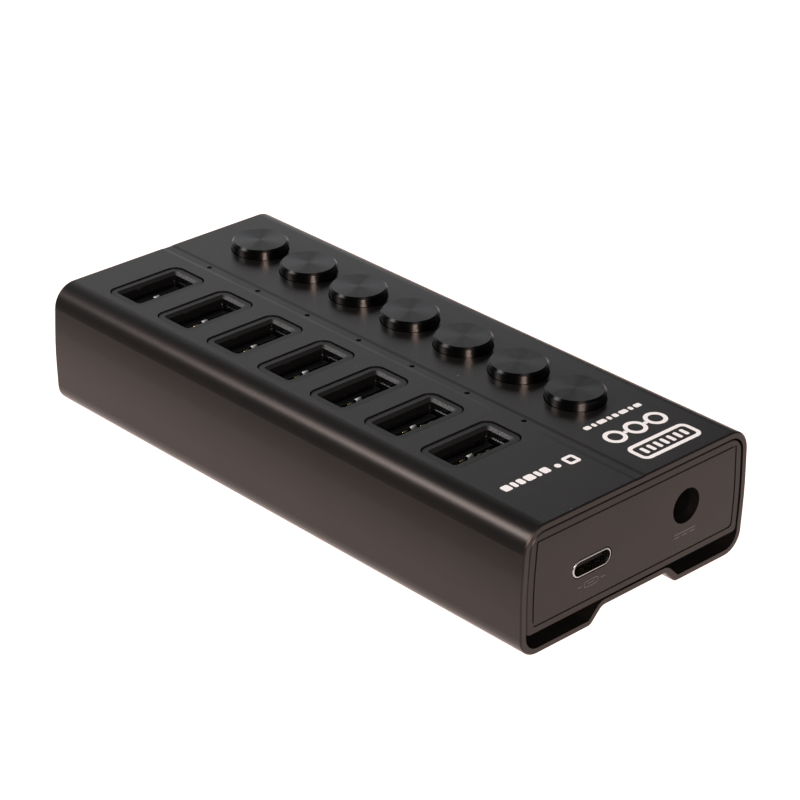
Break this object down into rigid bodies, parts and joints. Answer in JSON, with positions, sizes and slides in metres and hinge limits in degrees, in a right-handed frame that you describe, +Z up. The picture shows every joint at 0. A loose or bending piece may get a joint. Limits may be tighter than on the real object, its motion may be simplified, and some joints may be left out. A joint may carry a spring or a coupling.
{
  "type": "usb hub",
  "caption": "Long low desktop hub in a black extruded case, with a row of upright sockets, each with an indicator and a round push button, and upstream and power sockets on one end.",
  "frame": {"origin": "middle of the case, in the plane that its foot rails stand on", "axes": "+X along the case towards the socket end plate, +Y across it towards the buttons, +Z up"},
  "size_m": [0.1182, 0.0536, 0.0255],
  "materials": {
    "anodised_black": "fine bead-blasted black anodising",
    "turned_black": "concentric turned face, glossy black anodised side",
    "bezel_black": "fine moulded satin texture",
    "socket_steel": "rolled nickel-plated sheet, in shadow",
    "rim_steel": "bright nickel plate",
    "insulator_black": "moulded insulator",
    "contact_gold": "gold-plated contacts",
    "tray_plastic": "moulded tray",
    "board_green": "solder-masked board",
    "chip_epoxy": "moulded epoxy",
    "can_aluminium": "drawn can",
    "screw_steel": "zinc-plated steel",
    "spring_steel": "drawn spring wire",
    "switch_plastic": "moulded switch housing",
    "stem_plastic": "moulded stem",
    "light_pipe": "smoked clear moulding",
    "led_epoxy": "lamp epoxy"
  },
  "bodies": {
    "root": {"case_sleeve": "anodised_black", "socket_end_plate": "anodised_black", "plain_end_plate": "anodised_black", "board_tray": "tray_plastic", "main_board": "board_green", "board_screws": "screw_steel", "usb_a_tongues": "insulator_black", "usb_a_contacts": "contact_gold", "indicator_leds": "led_epoxy", "light_pipe_strip": "light_pipe", "usb_c_shell": "rim_steel", "usb_c_tongue": "insulator_black", "usb_c_riser": "tray_plastic", "dc_jack_body": "insulator_black", "dc_jack_pin": "rim_steel", "hub_chips": "chip_epoxy", "capacitors": "can_aluminium", "port_bezel_1": "bezel_black", "usb_a_shell_1": "socket_steel", "switch_body_1": "switch_plastic", "switch_spring_1": "spring_steel", "port_bezel_2": "bezel_black", "usb_a_shell_2": "socket_steel", "switch_body_2": "switch_plastic", "switch_spring_2": "spring_steel", "port_bezel_3": "bezel_black", "usb_a_shell_3": "socket_steel", "switch_body_3": "switch_plastic", "switch_spring_3": "spring_steel", "port_bezel_4": "bezel_black", "usb_a_shell_4": "socket_steel", "switch_body_4": "switch_plastic", "switch_spring_4": "spring_steel", "port_bezel_5": "bezel_black", "usb_a_shell_5": "socket_steel", "switch_body_5": "switch_plastic", "switch_spring_5": "spring_steel", "port_bezel_6": "bezel_black", "usb_a_shell_6": "socket_steel", "switch_body_6": "switch_plastic", "switch_spring_6": "spring_steel", "port_bezel_7": "bezel_black", "usb_a_shell_7": "socket_steel", "switch_body_7": "switch_plastic", "switch_spring_7": "spring_steel"},
    "button_1": {"button_cap_1": "turned_black", "switch_plunger_1": "stem_plastic"},
    "button_2": {"button_cap_2": "turned_black", "switch_plunger_2": "stem_plastic"},
    "button_3": {"button_cap_3": "turned_black", "switch_plunger_3": "stem_plastic"},
    "button_4": {"button_cap_4": "turned_black", "switch_plunger_4": "stem_plastic"},
    "button_5": {"button_cap_5": "turned_black", "switch_plunger_5": "stem_plastic"},
    "button_6": {"button_cap_6": "turned_black", "switch_plunger_6": "stem_plastic"},
    "button_7": {"button_cap_7": "turned_black", "switch_plunger_7": "stem_plastic"}
  },
  "joints": [
    {"name": "button_1_press", "type": "slide", "parent": "root", "child": "button_1", "axis": [0, 0, -1], "range_m": [0, 0.0015], "stiffness_N_per_m": 600, "springref_m": -0.0006, "deforming": ["switch_spring_1"]},
    {"name": "button_2_press", "type": "slide", "parent": "root", "child": "button_2", "axis": [0, 0, -1], "range_m": [0, 0.0015], "stiffness_N_per_m": 600, "springref_m": -0.0006, "deforming": ["switch_spring_2"]},
    {"name": "button_3_press", "type": "slide", "parent": "root", "child": "button_3", "axis": [0, 0, -1], "range_m": [0, 0.0015], "stiffness_N_per_m": 600, "springref_m": -0.0006, "deforming": ["switch_spring_3"]},
    {"name": "button_4_press", "type": "slide", "parent": "root", "child": "button_4", "axis": [0, 0, -1], "range_m": [0, 0.0015], "stiffness_N_per_m": 600, "springref_m": -0.0006, "deforming": ["switch_spring_4"]},
    {"name": "button_5_press", "type": "slide", "parent": "root", "child": "button_5", "axis": [0, 0, -1], "range_m": [0, 0.0015], "stiffness_N_per_m": 600, "springref_m": -0.0006, "deforming": ["switch_spring_5"]},
    {"name": "button_6_press", "type": "slide", "parent": "root", "child": "button_6", "axis": [0, 0, -1], "range_m": [0, 0.0015], "stiffness_N_per_m": 600, "springref_m": -0.0006, "deforming": ["switch_spring_6"]},
    {"name": "button_7_press", "type": "slide", "parent": "root", "child": "button_7", "axis": [0, 0, -1], "range_m": [0, 0.0015], "stiffness_N_per_m": 600, "springref_m": -0.0006, "deforming": ["switch_spring_7"]}
  ]
}
